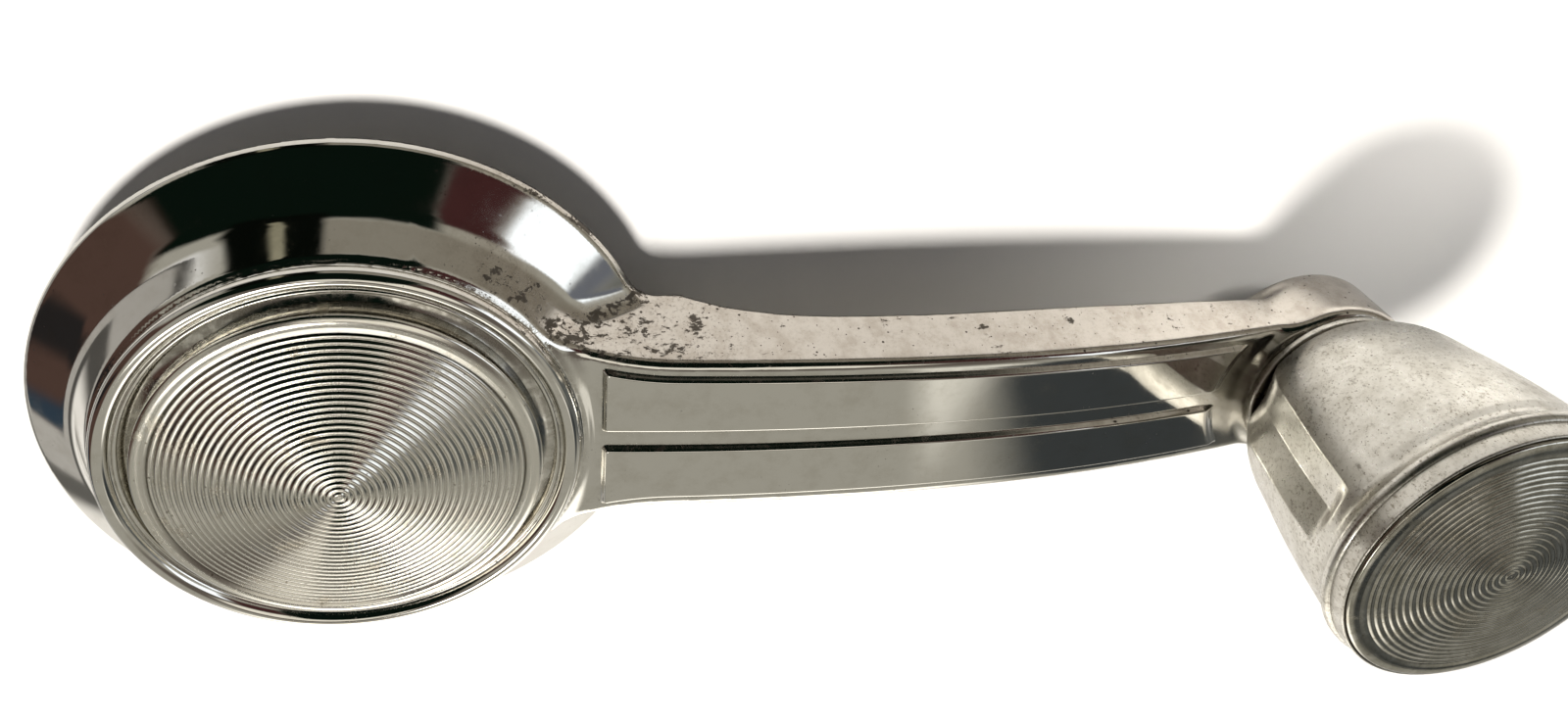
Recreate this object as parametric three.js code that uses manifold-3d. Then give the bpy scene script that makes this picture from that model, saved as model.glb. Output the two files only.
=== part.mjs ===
// Window crank handle: a die-cast crank with a round hub, a raised arm, and a free-turning knob.
// Millimetres, +Z up. The part's origin is the blind floor of the spindle socket, on the spindle axis.
// The arm runs along +X. Heights in this file are counted from the hub's base plane, and the whole
// group is lowered by SOCKET_FLOOR at the end.
import * as THREE from 'three';
import { mergeVertices } from 'three/addons/utils/BufferGeometryUtils.js';
import Module from 'manifold-3d';

// Main layout
const REACH = 100;              // spindle axis to knob axis
const SOCKET_FLOOR = 8;         // height of the blind floor of the spindle socket
const SOCKET_END_R = 4.1;       // radius of the socket past the sleeve

// Hub of the casting
const SKIRT_R = 28.5;
const SKIRT_LIP = 0.9;
const SKIRT_CHAMFER = 0.3;
const SKIRT_SHOULDER = 0.4;     // step from the lip up to the slope
const CREASE_R = 23.5;
const CREASE_Z = 4.1;
const BEAD_R = 20;
const BEAD_Z = 8.3;
const BEAD_SECTION_R = 0.9;
const BEAD_FOOT = 0.35;         // how far the foot of the bead spreads on each side
const DECK_Z = 7.6;
const PAD_R = 9;
const PAD_Z = 9.2;
const PAD_SLOPE = 0.5;
const WALL = 2;
const CORE_R = 8.6;             // solid core around the spindle socket
const CORE_BOTTOM = -4;         // the core stands proud of the skirt, so the crank clears its door
const CORE_EDGE = 0.4;
const HUB_SEGMENTS = 60;

// Arm of the casting
const ARM_START = 10;
const ARM_END = REACH;
const ARM_CREST_X = 60;
const ARM_CREST_Z = 9.9;
const ARM_RISE_INNER = 0.0015;  // parabola towards the hub
const ARM_FALL_OUTER = 0.0022;  // parabola towards the knob
const ARM_BACK_Z = 4.8;
const ARM_BACK_START = 30.5;
const ARM_BACK_LENGTH = 9;
const ARM_BACK_FALL = 0.025;    // the back sinks slowly towards the knob
const ARM_HALF_INNER = 8.75;    // half width of the top face near the hub
const ARM_HALF_OUTER = 7.8;     // half width of the top face near the knob
const ARM_EDGE_R = 0.8;
const ARM_DRAFT = 0.24;         // sideways run of the side wall per unit of height
const FLARE_START = 30;
const FLARE_R = 29;
const HOLLOW_START = 33;        // hollow in the back of the arm
const HOLLOW_END = 87;
const HOLLOW_WALL = 1.7;

// Raised bars on the arm
const BAR_START = 22.6;
const BAR_STOP = REACH - 6;     // the bars are modelled this far, then trimmed
const BAR_HEIGHT = 0.5;
const BAR_INNER = 0.95;
const BAR_BORDER = 1.4;
const BAR_END_R = 12.6;         // the bars end on a circle round the knob axis
const BAR_RAMP = 3;             // half the length of the cone that forms their sloping ends

// Knob boss of the casting
const BOSS_R = 9.9;
const BOSS_BOTTOM = 0.6;
const BOSS_TOP = 8.2;
const BOSS_EDGE_R = 1.1;
const BOSS_TOP_EDGE_R = 0.7;
const BOSS_RECESS_R = 6.6;
const BOSS_RECESS_Z = 2.8;

// Socket sleeve and retaining clip
const SLEEVE_R = 6.5;
const SLEEVE_BOTTOM = CORE_BOTTOM + 0.2;
const SLEEVE_TOP = 7.6;         // the sleeve stops against a shoulder of the casting
const SPLINE_ROOT_R = 4.8;
const SPLINE_TIP_R = 4.3;
const SPLINE_COUNT = 24;
const SLOT_Z0 = CORE_BOTTOM + 1.4;
const SLOT_Z1 = SLOT_Z0 + 1.4;
const SLOT_HALF = 3.6;          // the slots start this far from the centre line
const SLOT_REACH = 12;
const CLIP_THICKNESS = 0.9;
const CLIP_INNER = 3.9;
const CLIP_OUTER = 5.5;
const CLIP_BEND_X = -8;
const CLIP_TIP_X = 5;
const CLIP_TIP_FLARE = 0.9;
const CLIP_TIP_LENGTH = 1.6;

// Knob stud and its small parts
const STUD_R = 2.9;
const STUD_HEAD_R = 4.3;
const STUD_HEAD_Z0 = 1.1;
const STUD_HEAD_EDGE = 0.8;
const RIVET_WASHER_R = 5.6;
const RIVET_WASHER_THICKNESS = 0.7;
const COLLAR_R = 9.5;
const COLLAR_THICKNESS = 0.9;
const COLLAR_EDGE = 0.25;
const FLANGE_R = 4.8;
const FLANGE_THICKNESS = 0.8;
const STUD_TOP = 24.6;
const STUD_CHAMFER = 0.5;
const FIT_GAP = 0.05;
const BEARING_GAP = 0.1;
const RUN_GAP = 0.3;
const BUSH_WALL = 0.95;
const BUSH_TOP = 21.9;
const NUT_R = 5.6;
const NUT_THICKNESS = 0.6;
const WAVE_R0 = 5.5;
const WAVE_R1 = 8.2;
const WAVE_THICKNESS = 0.25;
const WAVE_AMPLITUDE = 0.18;
const WAVE_COUNT = 3;
const WAVE_STEPS = 36;

// Knob
const KNOB_BOTTOM = 9.4;
const KNOB_FOOT_EDGE = 0.3;
const KNOB_BODY_TOP = 26.6;
const KNOB_RECESS_R = 8.8;
const KNOB_RECESS_Z = 10.5;
const KNOB_FLOOR_Z = 12.2;
const KNOB_TUBE_WALL = 2;
const KNOB_TUBE_TOP = 21.6;
const KNOB_BEAD_R = 15.2;
const KNOB_BEAD_Z = 28.9;
const KNOB_BEAD_SECTION_R = 0.6;
const KNOB_BAND_R = 14.75;
const KNOB_TOP = 31;
const KNOB_SEAT_R = 14.5;
const KNOB_SEAT_Z = 28.4;
const KNOB_LEDGE_R = 12.2;
const KNOB_CAVITY_R = 11.2;     // inner radius half way up the knob
const KNOB_CAVITY_Z = 20;
const KNOB_WALL = 1.4;
const FLUTE_DEPTH = 1.1;
const FLUTE_HALF = 3.6;
const FLUTE_COUNT = 2;
const FLUTE_FADE = 2.2;         // height over which a flute dies out
const FLUTE_TOP = KNOB_BODY_TOP + 0.6;
const FLUTE_TURN = 172;         // degrees from +X to the first flute
const KNOB_SEGMENTS = 48;

// Ringed discs
const HUB_DISC_R = 17.35;
const HUB_DISC_RIM = 10;
const HUB_DISC_RISE = 2.7;
const HUB_DISC_BORDER = 1.5;
const HUB_DISC_RINGS = 9;
const KNOB_DISC_R = 14.25;
const KNOB_DISC_RIM = 31.2;
const KNOB_DISC_RISE = 1.3;
const KNOB_DISC_BORDER = 0.9;
const KNOB_DISC_RINGS = 6;
const RING_DEPTH = 0.12;
const DISC_THICKNESS = 0.9;
const DISC_EDGE = 0.2;
const DISC_POWER = 1.5;         // shape of the dome: 2 is round, 1 is a cone
const DISC_SEGMENTS = 42;

const OVERSHOOT = 1;            // how far cutting solids reach past the surfaces they cut

// Materials, one for each finish
function finish(colour, roughness, metalness) {
  return new THREE.MeshStandardMaterial({ color: colour, roughness, metalness });
}
const chrome = finish(0xc9c8c2, 0.12, 1);
const satin = finish(0xb9b3a4, 0.38, 1);
const ringed = finish(0xc4bfb0, 0.3, 1);
const steel = finish(0x8b8d90, 0.4, 1);
const springSteel = finish(0x5c5e63, 0.35, 1);
const nylon = finish(0xe6e0cf, 0.6, 0);

// Joining and cutting
const wasm = await Module();
wasm.setup();

function toSolid(geometry) {
  const bare = geometry.index ? geometry.toNonIndexed() : geometry.clone();
  bare.deleteAttribute('normal');
  bare.deleteAttribute('uv');
  const merged = mergeVertices(bare, 1e-4);
  const vertProperties = new Float32Array(merged.attributes.position.array);
  const triVerts = new Uint32Array(merged.index.array);
  return new wasm.Manifold(new wasm.Mesh({ numProp: 3, vertProperties, triVerts }));
}

function toGeometry(solid) {
  const mesh = solid.getMesh();
  const geometry = new THREE.BufferGeometry();
  geometry.setAttribute('position', new THREE.BufferAttribute(mesh.vertProperties, 3));
  geometry.setIndex(new THREE.BufferAttribute(mesh.triVerts, 1));
  return geometry.toNonIndexed();
}

// A turned shape about the Z axis from [radius, height] points
function turned(points, segments) {
  const outline = points.map(([radius, height]) => new THREE.Vector2(radius, height));
  return new THREE.LatheGeometry(outline, segments).rotateX(Math.PI / 2);
}

// Points of an arc in a turned profile, in degrees from the outward direction
function arc(centreR, centreZ, radius, fromDeg, toDeg, steps) {
  const points = [];
  for (let i = 0; i <= steps; i += 1) {
    const angle = THREE.MathUtils.degToRad(fromDeg + (toDeg - fromDeg) * i / steps);
    points.push([centreR + radius * Math.cos(angle), centreZ + radius * Math.sin(angle)]);
  }
  return points;
}

// A plain ring or disc with square edges
function ring(innerR, outerR, z0, z1, segments) {
  if (innerR === 0) {
    return turned([[0, z0], [outerR, z0], [outerR, z1], [0, z1]], segments);
  }
  return turned([[innerR, z0], [outerR, z0], [outerR, z1], [innerR, z1], [innerR, z0]], segments);
}

// A solid through a row of closed sections that all have the same number of points
function loft(sections) {
  const count = sections[0].length;
  const positions = [];
  const triangle = (a, b, c) => positions.push(...a.toArray(), ...b.toArray(), ...c.toArray());
  const centre = (section) => {
    const middle = new THREE.Vector3();
    section.forEach((point) => middle.add(point));
    return middle.divideScalar(section.length);
  };
  for (let s = 0; s + 1 < sections.length; s += 1) {
    for (let i = 0; i < count; i += 1) {
      const j = (i + 1) % count;
      triangle(sections[s][i], sections[s][j], sections[s + 1][j]);
      triangle(sections[s][i], sections[s + 1][j], sections[s + 1][i]);
    }
  }
  const first = sections[0];
  const last = sections[sections.length - 1];
  for (let i = 0; i < count; i += 1) {
    const j = (i + 1) % count;
    triangle(centre(first), first[j], first[i]);
    triangle(centre(last), last[i], last[j]);
  }
  const geometry = new THREE.BufferGeometry();
  geometry.setAttribute('position', new THREE.Float32BufferAttribute(positions, 3));
  return geometry;
}

function stations(from, to, count) {
  return Array.from({ length: count + 1 }, (_, i) => from + (to - from) * i / count);
}

// Arm shape, as functions of the distance x from the spindle axis
function armTop(x) {
  const away = x - ARM_CREST_X;
  return ARM_CREST_Z - away * away * (away < 0 ? ARM_RISE_INNER : ARM_FALL_OUTER);
}

function armBack(x) {
  const past = Math.max(0, x - ARM_BACK_START);
  return (ARM_BACK_Z - ARM_BACK_FALL * past) * (1 - Math.exp(-past / ARM_BACK_LENGTH));
}

function armHalf(x) {
  const along = THREE.MathUtils.clamp((x - FLARE_START) / (ARM_END - FLARE_START), 0, 1);
  const straight = ARM_HALF_INNER + (ARM_HALF_OUTER - ARM_HALF_INNER) * along;
  const into = Math.min(FLARE_R, Math.max(0, FLARE_START - x));
  return straight + FLARE_R - Math.sqrt(FLARE_R * FLARE_R - into * into);
}

function armSection(x) {
  const top = armTop(x);
  const back = armBack(x);
  const half = armHalf(x);
  const spread = ARM_DRAFT * (top - ARM_EDGE_R - back);
  const side = [new THREE.Vector3(x, half + spread, back)];
  for (const deg of [0, 30, 60, 90]) {
    const angle = THREE.MathUtils.degToRad(deg);
    const y = half - ARM_EDGE_R * (1 - Math.cos(angle));
    side.push(new THREE.Vector3(x, y, top - ARM_EDGE_R * (1 - Math.sin(angle))));
  }
  const mirrored = side.map((point) => new THREE.Vector3(x, -point.y, point.z)).reverse();
  return [...side, ...mirrored];
}

function armBlank() {
  return toSolid(loft(stations(ARM_START, ARM_END, 26).map(armSection)));
}

// Hollow in the back of the arm
function armHollow() {
  const sections = stations(HOLLOW_START, HOLLOW_END, 12).map((x) => {
    const half = armHalf(x) - HOLLOW_WALL;
    const roof = armTop(x) - WALL - BAR_HEIGHT;
    const mouth = armBack(x) - OVERSHOOT;
    return [[half, mouth], [half, roof], [-half, roof], [-half, mouth]]
      .map(([y, z]) => new THREE.Vector3(x, y, z));
  });
  return toSolid(loft(sections));
}

// One raised bar with sloping sides, on the +Y or the -Y side of the centre line
function bar(side) {
  const sections = stations(BAR_START, BAR_STOP, 16).map((x) => {
    const outer = armHalf(x) - BAR_BORDER;
    const base = armTop(x) - BAR_HEIGHT;
    const crown = armTop(x) + BAR_HEIGHT;
    const slope = 2 * BAR_HEIGHT;
    const inset = x === BAR_START ? slope : 0;
    const shape = [[BAR_INNER - BAR_HEIGHT, base], [outer + BAR_HEIGHT, base],
      [outer + BAR_HEIGHT - slope, crown - inset], [BAR_INNER - BAR_HEIGHT + slope, crown - inset]];
    const points = shape.map(([y, z]) => new THREE.Vector3(x, side * y, z));
    return side > 0 ? points : points.reverse();
  });
  return toSolid(loft(sections));
}

// Cone round the knob axis that trims the bars to a curved ramp
function barTrim() {
  const middle = BOSS_TOP + OVERSHOOT;
  const low = middle - BAR_RAMP;
  const high = middle + BAR_RAMP;
  const profile = [[0, low], [BAR_END_R - BAR_RAMP, low], [BAR_END_R + BAR_RAMP, high], [0, high]];
  return toSolid(turned(profile, 48).translate(REACH, 0, 0));
}

function hubBlank() {
  const profile = [
    [0, 0],
    [SKIRT_R - SKIRT_CHAMFER, 0],
    [SKIRT_R, SKIRT_CHAMFER],
    [SKIRT_R, SKIRT_LIP],
    [SKIRT_R - SKIRT_SHOULDER, SKIRT_LIP + SKIRT_SHOULDER],
    [CREASE_R, CREASE_Z],
    [BEAD_R + BEAD_SECTION_R + BEAD_FOOT, DECK_Z],
    ...arc(BEAD_R, BEAD_Z, BEAD_SECTION_R, -15, 195, 6),
    [BEAD_R - BEAD_SECTION_R - BEAD_FOOT, DECK_Z],
    [PAD_R + PAD_SLOPE, DECK_Z],
    [PAD_R, PAD_Z],
    [0, PAD_Z],
  ];
  return toSolid(turned(profile, HUB_SEGMENTS));
}

// Ring shaped hollow in the back of the hub, round the core
function hubHollow() {
  const roof = DECK_Z - WALL;
  const mouthR = SKIRT_R - 0.8 * WALL;
  const profile = [
    [CORE_R, -OVERSHOOT],
    [mouthR, -OVERSHOOT],
    [mouthR, SKIRT_LIP / 2],
    [CREASE_R - 0.7 * WALL, CREASE_Z - 0.1 * WALL],
    [CREASE_R - 1.7 * WALL, roof],
    [CORE_R, roof],
    [CORE_R, -OVERSHOOT],
  ];
  return toSolid(turned(profile, HUB_SEGMENTS));
}

function coreEnd() {
  const profile = [
    [0, CORE_BOTTOM],
    [CORE_R - CORE_EDGE, CORE_BOTTOM],
    [CORE_R, CORE_BOTTOM + CORE_EDGE],
    [CORE_R, WALL],
    [0, WALL],
  ];
  return toSolid(turned(profile, HUB_SEGMENTS));
}

function bossBlank() {
  const profile = [
    [0, BOSS_BOTTOM],
    ...arc(BOSS_R - BOSS_EDGE_R, BOSS_BOTTOM + BOSS_EDGE_R, BOSS_EDGE_R, -90, 0, 3),
    ...arc(BOSS_R - BOSS_TOP_EDGE_R, BOSS_TOP - BOSS_TOP_EDGE_R, BOSS_TOP_EDGE_R, 0, 90, 3),
    [0, BOSS_TOP],
  ];
  return toSolid(turned(profile, 40).translate(REACH, 0, 0));
}

// Slots on both sides of the spindle, for the legs of the retaining clip
function clipSlots() {
  const width = SLOT_REACH - SLOT_HALF;
  const slot = (side) => {
    const box = new THREE.BoxGeometry(2 * SLOT_REACH, width, SLOT_Z1 - SLOT_Z0);
    box.translate(0, side * (SLOT_HALF + width / 2), (SLOT_Z0 + SLOT_Z1) / 2);
    return toSolid(box);
  };
  return slot(1).add(slot(-1));
}

function castingGeometry() {
  const bars = bar(1).add(bar(-1)).subtract(barTrim());
  const hollowHub = hubBlank().add(armBlank()).add(bossBlank()).add(bars).subtract(hubHollow());
  const socket = toSolid(turned([
    [0, CORE_BOTTOM - OVERSHOOT],
    [SLEEVE_R + FIT_GAP, CORE_BOTTOM - OVERSHOOT],
    [SLEEVE_R + FIT_GAP, SLEEVE_TOP],
    [SOCKET_END_R, SLEEVE_TOP],
    [SOCKET_END_R, SOCKET_FLOOR],
    [0, SOCKET_FLOOR],
  ], 48));
  const rivetRecess = toSolid(ring(0, BOSS_RECESS_R, -OVERSHOOT, BOSS_RECESS_Z, 40)
    .translate(REACH, 0, 0));
  const studHole = toSolid(ring(0, STUD_R + FIT_GAP, -OVERSHOOT, BOSS_TOP + OVERSHOOT, 32)
    .translate(REACH, 0, 0));
  return toGeometry(hollowHub
    .subtract(armHollow())
    .add(coreEnd())
    .subtract(socket)
    .subtract(clipSlots())
    .subtract(rivetRecess)
    .subtract(studHole));
}

// Pressed disc: a thin domed shell with a plain border, fine rings and a rim that stands on its seat
function discGeometry(radius, rimZ, rise, border, rings, seatZ) {
  const dome = (r) => rimZ + rise * (1 - (r / radius) ** DISC_POWER);
  const ringedR = radius - border;
  const top = [[0, rimZ + rise]];
  for (let i = 1; i < 2 * rings; i += 1) {
    const r = ringedR * i / (2 * rings);
    top.push([r, dome(r) - (i % 2 === 1 ? RING_DEPTH : 0)]);
  }
  top.push([ringedR, dome(ringedR)]);
  top.push([radius - DISC_EDGE, dome(radius - DISC_EDGE)], [radius, rimZ - DISC_EDGE]);
  const innerR = radius - DISC_THICKNESS;
  const under = [[innerR, seatZ], [innerR, rimZ - DISC_THICKNESS]];
  for (const share of [0.66, 0.33]) {
    under.push([innerR * share, dome(innerR * share) - DISC_THICKNESS - RING_DEPTH]);
  }
  under.push([0, rimZ + rise - DISC_THICKNESS - RING_DEPTH]);
  return turned([...top, [radius, seatZ], ...under].reverse(), DISC_SEGMENTS);
}

// Steel sleeve with a splined bore
function sleeveGeometry() {
  const shape = new THREE.Shape();
  shape.absarc(0, 0, SLEEVE_R, 0, 2 * Math.PI, false);
  const bore = new THREE.Path();
  for (let i = 0; i < 2 * SPLINE_COUNT; i += 1) {
    const angle = Math.PI * i / SPLINE_COUNT;
    const radius = i % 2 === 0 ? SPLINE_ROOT_R : SPLINE_TIP_R;
    const point = [radius * Math.cos(angle), radius * Math.sin(angle)];
    if (i === 0) {
      bore.moveTo(...point);
    } else {
      bore.lineTo(...point);
    }
  }
  bore.closePath();
  shape.holes.push(bore);
  const depth = SLEEVE_TOP - SLEEVE_BOTTOM;
  const settings = { depth, bevelEnabled: false, curveSegments: 48 };
  const blank = new THREE.ExtrudeGeometry(shape, settings).translate(0, 0, SLEEVE_BOTTOM);
  return toGeometry(toSolid(blank).subtract(clipSlots()));
}

// Horseshoe clip: two straight legs joined by a half round bend, with flared tips
function clipGeometry() {
  const tipInner = CLIP_INNER + CLIP_TIP_FLARE;
  const tipOuter = CLIP_OUTER + CLIP_TIP_FLARE;
  const flareX = CLIP_TIP_X + CLIP_TIP_LENGTH;
  const shape = new THREE.Shape();
  shape.moveTo(flareX, -tipOuter);
  shape.lineTo(flareX, -tipInner);
  shape.lineTo(CLIP_TIP_X, -CLIP_INNER);
  shape.lineTo(CLIP_BEND_X, -CLIP_INNER);
  shape.absarc(CLIP_BEND_X, 0, CLIP_INNER, -Math.PI / 2, Math.PI / 2, true);
  shape.lineTo(CLIP_TIP_X, CLIP_INNER);
  shape.lineTo(flareX, tipInner);
  shape.lineTo(flareX, tipOuter);
  shape.lineTo(CLIP_TIP_X, CLIP_OUTER);
  shape.lineTo(CLIP_BEND_X, CLIP_OUTER);
  shape.absarc(CLIP_BEND_X, 0, CLIP_OUTER, Math.PI / 2, 1.5 * Math.PI, false);
  shape.lineTo(CLIP_TIP_X, -CLIP_OUTER);
  shape.closePath();
  const settings = { depth: CLIP_THICKNESS, bevelEnabled: false, curveSegments: 12 };
  const lift = (SLOT_Z0 + SLOT_Z1 - CLIP_THICKNESS) / 2;
  return new THREE.ExtrudeGeometry(shape, settings).translate(0, 0, lift);
}

// Knob pieces are turned about their own axis and placed at REACH by their group
const RIVET_WASHER_Z0 = BOSS_RECESS_Z - RIVET_WASHER_THICKNESS;
const COLLAR_TOP = BOSS_TOP + COLLAR_THICKNESS;
const FLANGE_TOP = COLLAR_TOP + FLANGE_THICKNESS;
const BUSH_R0 = STUD_R + BEARING_GAP;
const BUSH_R1 = BUSH_R0 + BUSH_WALL;
const TUBE_R0 = BUSH_R1 + FIT_GAP;
const TUBE_R1 = TUBE_R0 + KNOB_TUBE_WALL;
const NUT_Z0 = BUSH_TOP + RUN_GAP;

function studGeometry() {
  return turned([
    [0, STUD_HEAD_Z0],
    [STUD_HEAD_R - STUD_HEAD_EDGE, STUD_HEAD_Z0],
    [STUD_HEAD_R, STUD_HEAD_Z0 + STUD_CHAMFER],
    [STUD_HEAD_R, RIVET_WASHER_Z0],
    [STUD_R, RIVET_WASHER_Z0],
    [STUD_R, COLLAR_TOP],
    [FLANGE_R, COLLAR_TOP],
    [FLANGE_R, FLANGE_TOP],
    [STUD_R, FLANGE_TOP],
    [STUD_R, STUD_TOP - STUD_CHAMFER],
    [STUD_R - STUD_CHAMFER, STUD_TOP],
    [0, STUD_TOP],
  ], 32);
}

function collarGeometry() {
  const bore = STUD_R + FIT_GAP;
  return turned([
    [bore, BOSS_TOP],
    [COLLAR_R - COLLAR_EDGE, BOSS_TOP],
    [COLLAR_R, BOSS_TOP + COLLAR_EDGE],
    [COLLAR_R, COLLAR_TOP - COLLAR_EDGE],
    [COLLAR_R - COLLAR_EDGE, COLLAR_TOP],
    [bore, COLLAR_TOP],
    [bore, BOSS_TOP],
  ], 48);
}

// Spring washer: a thin ring whose height follows a wave round the circle
function waveWasherGeometry() {
  const base = COLLAR_TOP + RUN_GAP + WAVE_AMPLITUDE;
  const section = (i) => {
    const angle = 2 * Math.PI * i / WAVE_STEPS;
    const z = base + WAVE_AMPLITUDE * Math.sin(WAVE_COUNT * angle);
    return [[WAVE_R0, z], [WAVE_R1, z], [WAVE_R1, z + WAVE_THICKNESS], [WAVE_R0, z + WAVE_THICKNESS]]
      .map(([r, height]) => new THREE.Vector3(r * Math.cos(angle), r * Math.sin(angle), height));
  };
  const positions = [];
  for (let i = 0; i < WAVE_STEPS; i += 1) {
    const here = section(i);
    const next = section((i + 1) % WAVE_STEPS);
    for (let k = 0; k < 4; k += 1) {
      const m = (k + 1) % 4;
      for (const point of [here[k], next[m], here[m], here[k], next[k], next[m]]) {
        positions.push(...point.toArray());
      }
    }
  }
  const geometry = new THREE.BufferGeometry();
  geometry.setAttribute('position', new THREE.Float32BufferAttribute(positions, 3));
  return geometry;
}

// Outer radius of the knob body, fuller near the foot and straighter above
const knobCurve = new THREE.SplineCurve([
  new THREE.Vector2(9.9, KNOB_BOTTOM),
  new THREE.Vector2(11.5, 11.8),
  new THREE.Vector2(12.9, 16.8),
  new THREE.Vector2(14, 22.6),
  new THREE.Vector2(14.5, KNOB_BODY_TOP),
]);

function knobRadius(z) {
  const samples = knobCurve.getPoints(60);
  const above = samples.findIndex((point) => point.y >= z);
  if (above <= 0) return samples[above === 0 ? 0 : samples.length - 1].x;
  const a = samples[above - 1];
  const b = samples[above];
  return a.x + (b.x - a.x) * (z - a.y) / (b.y - a.y);
}

// Shallow V shaped flute down the side of the knob body, fading out under the bead
function flute(turnDeg) {
  const sections = stations(KNOB_BOTTOM - OVERSHOOT, FLUTE_TOP, 9).map((z) => {
    const r = knobRadius(THREE.MathUtils.clamp(z, KNOB_BOTTOM, KNOB_BODY_TOP));
    const left = THREE.MathUtils.clamp((FLUTE_TOP - z) / FLUTE_FADE, 0, 1);
    const clearance = 0.4 * (1 - left);
    const apex = r - FLUTE_DEPTH * left + clearance;
    const reach = 2 * FLUTE_HALF;
    const sagitta = r - Math.sqrt(r * r - FLUTE_HALF * FLUTE_HALF);
    const edge = apex + reach * (FLUTE_DEPTH - sagitta) / FLUTE_HALF;
    const outside = r + reach;
    return [[apex, 0], [edge, -reach], [outside, -reach], [outside, reach], [edge, reach]]
      .map(([x, y]) => new THREE.Vector3(x, y, z));
  });
  return toSolid(loft(sections).rotateZ(THREE.MathUtils.degToRad(turnDeg)));
}

function knobBodyGeometry() {
  const outside = stations(KNOB_BOTTOM, KNOB_BODY_TOP, 8).map((z) => [knobRadius(z), z]);
  const beadStart = KNOB_BEAD_R - KNOB_BEAD_SECTION_R;
  const profile = [
    [0, KNOB_BOTTOM],
    [outside[0][0] - KNOB_FOOT_EDGE, KNOB_BOTTOM],
    [outside[0][0], KNOB_BOTTOM + KNOB_FOOT_EDGE],
    ...outside.slice(1),
    [KNOB_BEAD_R - 0.5, KNOB_BEAD_Z - 0.9],
    ...arc(beadStart, KNOB_BEAD_Z, KNOB_BEAD_SECTION_R, -50, 60, 4),
    [KNOB_BAND_R, KNOB_TOP - 0.1],
    [KNOB_BAND_R - 0.1, KNOB_TOP],
    [0, KNOB_TOP],
  ];
  let body = toSolid(turned(profile, KNOB_SEGMENTS));
  for (let i = 0; i < FLUTE_COUNT; i += 1) {
    body = body.subtract(flute(FLUTE_TURN + 360 * i / FLUTE_COUNT));
  }
  const footRecess = ring(0, KNOB_RECESS_R, KNOB_BOTTOM - OVERSHOOT, KNOB_RECESS_Z, 48);
  const bore = ring(0, TUBE_R0, KNOB_BOTTOM, KNOB_TUBE_TOP + OVERSHOOT, 40);
  const seat = ring(0, KNOB_SEAT_R, KNOB_SEAT_Z, KNOB_TOP + OVERSHOOT, KNOB_SEGMENTS);
  const hollow = turned([
    [0, KNOB_TUBE_TOP],
    [TUBE_R1, KNOB_TUBE_TOP],
    [TUBE_R1, KNOB_FLOOR_Z],
    [knobRadius(KNOB_FLOOR_Z) - FLUTE_DEPTH - KNOB_WALL, KNOB_FLOOR_Z],
    [KNOB_CAVITY_R, KNOB_CAVITY_Z],
    [KNOB_LEDGE_R, KNOB_SEAT_Z + OVERSHOOT],
    [0, KNOB_SEAT_Z + OVERSHOOT],
  ], 48);
  return toGeometry(body
    .subtract(toSolid(footRecess))
    .subtract(toSolid(bore))
    .subtract(toSolid(seat))
    .subtract(toSolid(hollow)));
}

// Assembly
function piece(name, geometry, material) {
  const mesh = new THREE.Mesh(geometry, material);
  mesh.name = name;
  return mesh;
}

const spindleEnd = new THREE.Group();
spindleEnd.add(piece('crank_casting', castingGeometry(), chrome));
spindleEnd.add(piece('hub_disc', discGeometry(HUB_DISC_R, HUB_DISC_RIM, HUB_DISC_RISE,
  HUB_DISC_BORDER, HUB_DISC_RINGS, DECK_Z), ringed));
spindleEnd.add(piece('spindle_sleeve', sleeveGeometry(), steel));
spindleEnd.add(piece('retaining_clip', clipGeometry(), springSteel));

const knobEnd = new THREE.Group();
knobEnd.position.x = REACH;
knobEnd.add(piece('knob_stud', studGeometry(), steel));
knobEnd.add(piece('rivet_washer', ring(STUD_R + FIT_GAP, RIVET_WASHER_R, RIVET_WASHER_Z0,
  BOSS_RECESS_Z, 36), steel));
knobEnd.add(piece('knob_collar', collarGeometry(), satin));
knobEnd.add(piece('knob_wave_washer', waveWasherGeometry(), springSteel));
knobEnd.add(piece('stud_push_nut', ring(STUD_R + FIT_GAP, NUT_R, NUT_Z0,
  NUT_Z0 + NUT_THICKNESS, 36), springSteel));
knobEnd.add(piece('knob_bush', ring(BUSH_R0, BUSH_R1, KNOB_RECESS_Z, BUSH_TOP, 36), nylon));
knobEnd.add(piece('knob_body', knobBodyGeometry(), satin));
knobEnd.add(piece('knob_disc', discGeometry(KNOB_DISC_R, KNOB_DISC_RIM, KNOB_DISC_RISE,
  KNOB_DISC_BORDER, KNOB_DISC_RINGS, KNOB_SEAT_Z), ringed));

const crankHandle = new THREE.Group();
crankHandle.name = 'window_crank_handle';
crankHandle.position.z = -SOCKET_FLOOR;
crankHandle.add(spindleEnd, knobEnd);

export default crankHandle;
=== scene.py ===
"""Looks for the window crank handle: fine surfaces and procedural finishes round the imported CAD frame."""
import math

import bpy
import numpy as np
from mathutils import Matrix, Vector

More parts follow.
